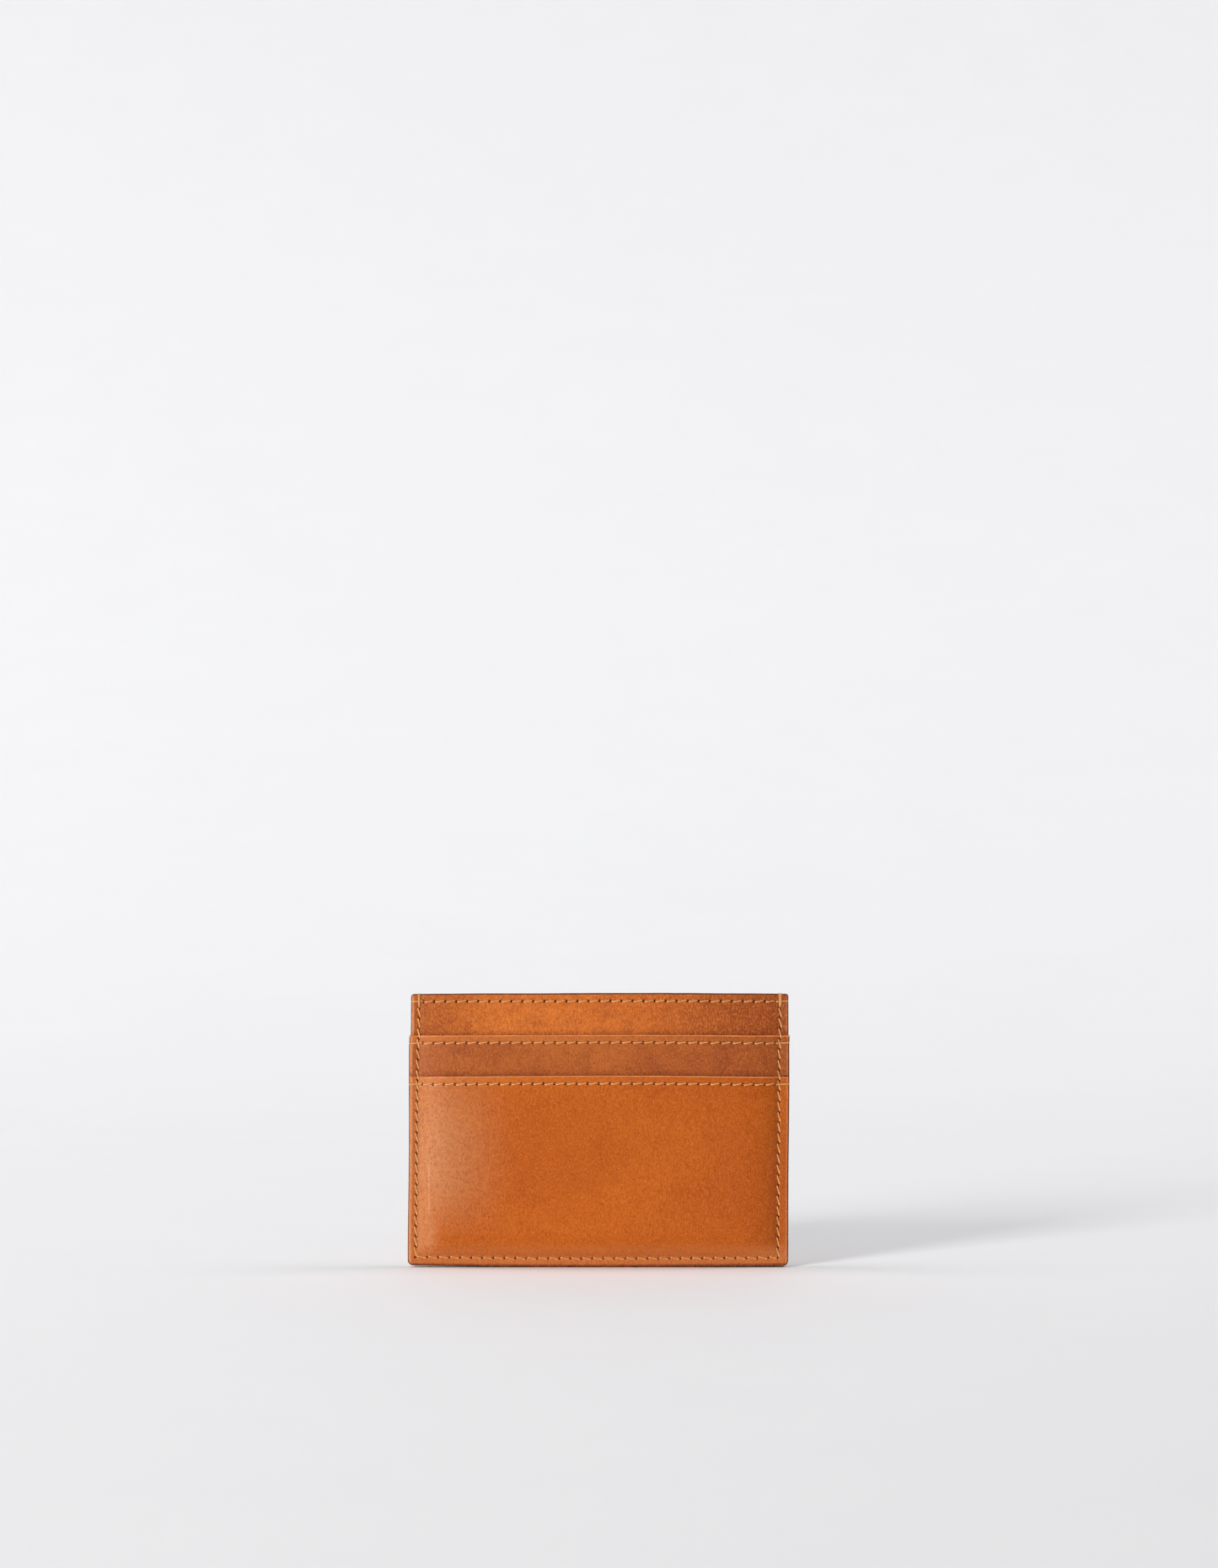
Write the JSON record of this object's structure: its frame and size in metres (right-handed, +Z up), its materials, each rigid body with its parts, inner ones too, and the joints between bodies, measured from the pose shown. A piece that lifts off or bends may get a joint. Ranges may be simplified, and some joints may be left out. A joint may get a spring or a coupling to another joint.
{
  "type": "card holder",
  "caption": "Flat stitched leather card holder with card slots on both faces, an open compartment between them, and painted edges.",
  "frame": {"origin": "middle of the flat base that the card holder stands on, at the centre of its bounding box's bottom", "axes": "+X along the width, +Z up to the open mouths, front face towards -Y"},
  "size_m": [0.1, 0.0086, 0.0722],
  "materials": {
    "leather": "smooth aniline calf with fine grain, cognac with a mottled patina",
    "edge_paint": "satin burnished dark brown edge paint",
    "thread": "twisted waxed light tan thread"
  },
  "bodies": {
    "root": {"front_panel": "leather", "front_upper_pocket": "leather", "front_lower_pocket": "leather", "back_panel": "leather", "back_upper_pocket": "leather", "back_lower_pocket": "leather", "base_edge_paint": "edge_paint", "left_edge_paint": "edge_paint", "right_edge_paint": "edge_paint", "front_panel_edge_paint": "edge_paint", "front_upper_pocket_edge_paint": "edge_paint", "front_lower_pocket_edge_paint": "edge_paint", "back_panel_edge_paint": "edge_paint", "back_upper_pocket_edge_paint": "edge_paint", "back_lower_pocket_edge_paint": "edge_paint", "rim_seam_needle_thread": "thread", "rim_seam_bobbin_thread": "thread", "front_panel_row_needle_thread": "thread", "front_upper_pocket_row_needle_thread": "thread", "front_lower_pocket_row_needle_thread": "thread", "back_panel_row_needle_thread": "thread", "back_upper_pocket_row_needle_thread": "thread", "back_lower_pocket_row_needle_thread": "thread", "front_panel_row_bobbin_thread": "thread", "front_upper_pocket_row_bobbin_thread": "thread", "front_lower_pocket_row_bobbin_thread": "thread", "back_panel_row_bobbin_thread": "thread", "back_upper_pocket_row_bobbin_thread": "thread", "back_lower_pocket_row_bobbin_thread": "thread", "front_stem_seam_needle_thread": "thread", "back_stem_seam_needle_thread": "thread", "front_stem_seam_bobbin_thread": "thread", "back_stem_seam_bobbin_thread": "thread"}
  },
  "joints": []
}
